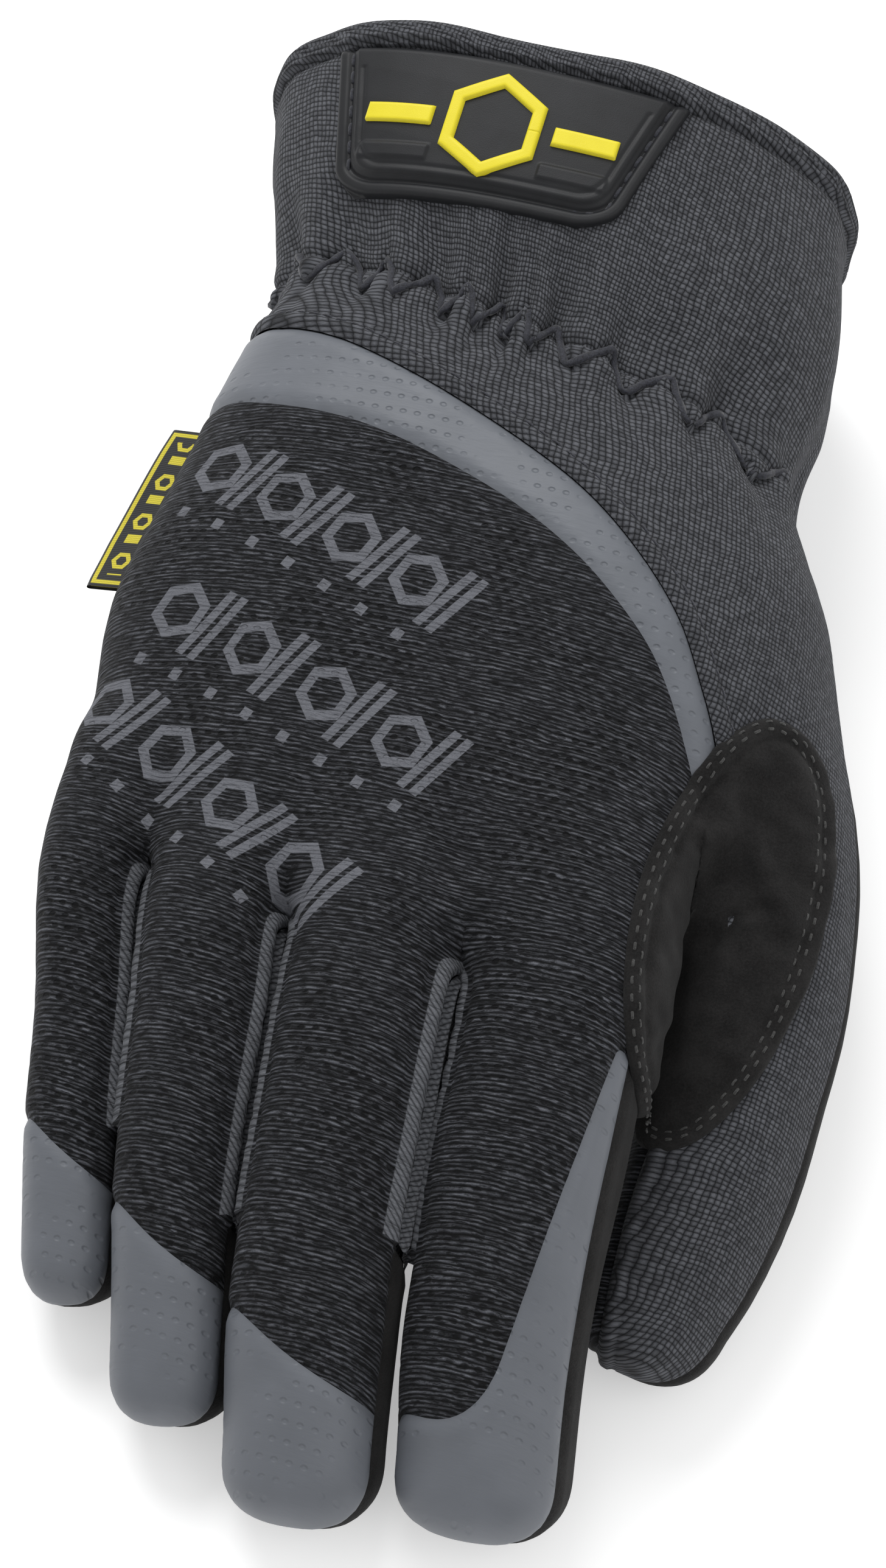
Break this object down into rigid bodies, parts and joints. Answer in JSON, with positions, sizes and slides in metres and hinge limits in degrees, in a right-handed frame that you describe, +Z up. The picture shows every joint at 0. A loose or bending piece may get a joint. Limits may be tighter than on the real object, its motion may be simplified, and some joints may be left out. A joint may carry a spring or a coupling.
{
  "type": "work glove",
  "caption": "Right-hand slip-on work glove with knit cuff, ribbed mesh back, coated knuckle band and fingertips, suede palm and thumb patch, lying palm down.",
  "frame": {"origin": "bottom centre of the glove's box, on the surface that the glove lies on", "axes": "+Y towards the cuff's mouth, -Y the way the fingers point, +Z up out of the back of the hand, +X towards the thumb"},
  "size_m": [0.1358, 0.2458, 0.0711],
  "materials": {
    "knit": "coarse dull knit",
    "mesh": "ribbed dull mesh",
    "coated_print": "smooth satin coating",
    "suede": "napped dull suede",
    "gusset_knit": "fine dull knit",
    "rubber": "moulded satin rubber",
    "emblem": "smooth satin",
    "woven_label": "woven satin"
  },
  "bodies": {
    "root": {"cuff_hem": "knit", "cuff": "knit", "knit_back": "knit", "back_panel": "mesh", "knuckle_band": "coated_print", "tip_little": "coated_print", "tip_ring": "coated_print", "tip_middle": "coated_print", "tip_index": "coated_print", "palm_panel": "suede", "gusset_little_ring": "gusset_knit", "gusset_ring_middle": "gusset_knit", "gusset_middle_index": "gusset_knit", "thumb_saddle": "suede", "rubber_badge": "rubber", "badge_ring": "emblem", "badge_bar_left": "emblem", "badge_bar_right": "emblem", "side_label": "woven_label"}
  },
  "joints": []
}
